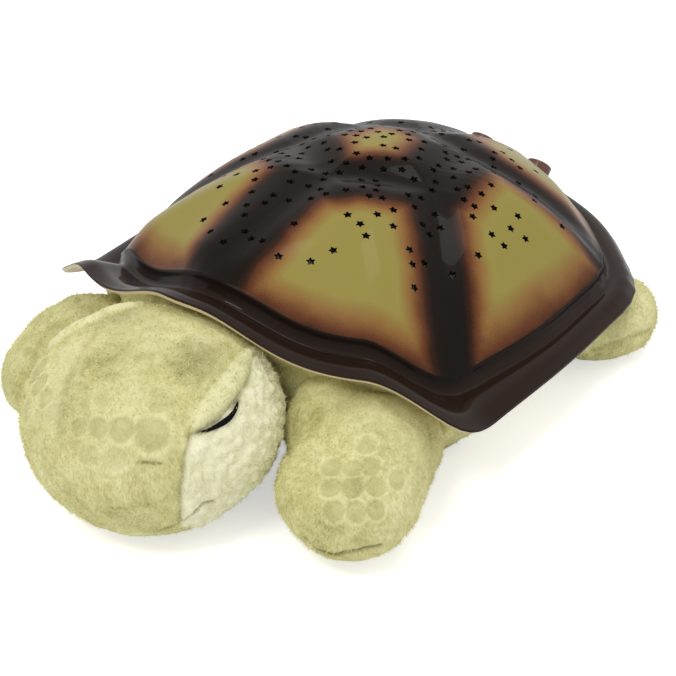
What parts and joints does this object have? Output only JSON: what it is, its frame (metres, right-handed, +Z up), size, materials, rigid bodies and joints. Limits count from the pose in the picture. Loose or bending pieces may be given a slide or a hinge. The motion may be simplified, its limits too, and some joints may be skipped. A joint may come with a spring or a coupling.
{
  "type": "star night light projector",
  "caption": "Plush turtle night light: a hard star-pierced shell over battery-powered lamps, with push buttons, a battery door and a belly flap.",
  "frame": {"origin": "centre of the bounding box at the floor, under the shell's middle", "axes": "+Z up, -Y towards the nose, +X to the turtle's left"},
  "size_m": [0.254, 0.4, 0.1138],
  "materials": {
    "shell_plastic": "gloss",
    "tray_plastic": "satin",
    "steel": "satin",
    "white_plastic": "satin",
    "circuit_board": "satin",
    "led_amber_lens": "gloss",
    "led_blue_lens": "gloss",
    "led_green_lens": "gloss",
    "black_plastic": "satin",
    "cell_jacket": "gloss",
    "nickel_plate": "satin",
    "red_wire": "matte",
    "black_wire": "matte",
    "grey_wire": "matte",
    "plush": "pile",
    "pale_plush": "pile",
    "eye_thread": "gloss",
    "fastener_tape": "matte",
    "hook_tape": "matte",
    "button_plastic": "gloss"
  },
  "bodies": {
    "case": {"shell": "shell_plastic", "base_tray": "tray_plastic", "shell_screws": "steel", "light_post": "white_plastic", "post_screws": "steel", "lamp_board": "circuit_board", "led_amber": "led_amber_lens", "led_blue": "led_blue_lens", "led_green": "led_green_lens", "timer_chip": "black_plastic", "button_board": "circuit_board", "board_screws": "steel", "switch_amber": "black_plastic", "switch_blue": "black_plastic", "switch_green": "black_plastic", "battery_front": "cell_jacket", "battery_middle": "cell_jacket", "battery_rear": "cell_jacket", "contact_springs": "nickel_plate", "contact_plates": "nickel_plate", "lead_red": "red_wire", "lead_black": "black_wire", "button_cable": "grey_wire", "plush_body": "plush", "head": "plush", "left_eye": "eye_thread", "right_eye": "eye_thread", "left_eyelid": "pale_plush", "right_eyelid": "pale_plush", "front_left_flipper": "plush", "front_right_flipper": "plush", "rear_left_flipper": "plush", "rear_right_flipper": "plush", "tail": "plush", "loop_tape": "fastener_tape"},
    "amber_button": {"button_amber": "button_plastic", "plunger_amber": "white_plastic"},
    "blue_button": {"button_blue": "button_plastic", "plunger_blue": "white_plastic"},
    "green_button": {"button_green": "button_plastic", "plunger_green": "white_plastic"},
    "door": {"battery_door": "tray_plastic", "battery_screw": "steel"},
    "flap": {"belly_flap": "plush", "hook_tape": "hook_tape"}
  },
  "joints": [
    {"name": "amber_press", "type": "slide", "parent": "case", "child": "amber_button", "axis": [0, -0.7071, -0.7071], "range_m": [0, 0.0008], "stiffness_N_per_m": 800, "springref_m": -0.001},
    {"name": "blue_press", "type": "slide", "parent": "case", "child": "blue_button", "axis": [0, -0.7071, -0.7071], "range_m": [0, 0.0008], "stiffness_N_per_m": 800, "springref_m": -0.001},
    {"name": "green_press", "type": "slide", "parent": "case", "child": "green_button", "axis": [0, -0.7071, -0.7071], "range_m": [0, 0.0008], "stiffness_N_per_m": 800, "springref_m": -0.001},
    {"name": "battery_door_hinge", "type": "hinge", "parent": "case", "child": "door", "pos_m": [0, -0.0059, 0.043], "axis": [-1, 0, 0], "range_deg": [0, 45]},
    {"name": "belly_flap_hinge", "type": "hinge", "parent": "case", "child": "flap", "pos_m": [0, -0.0195, 0.0006], "axis": [-1, 0, 0], "range_deg": [0, 120]}
  ]
}
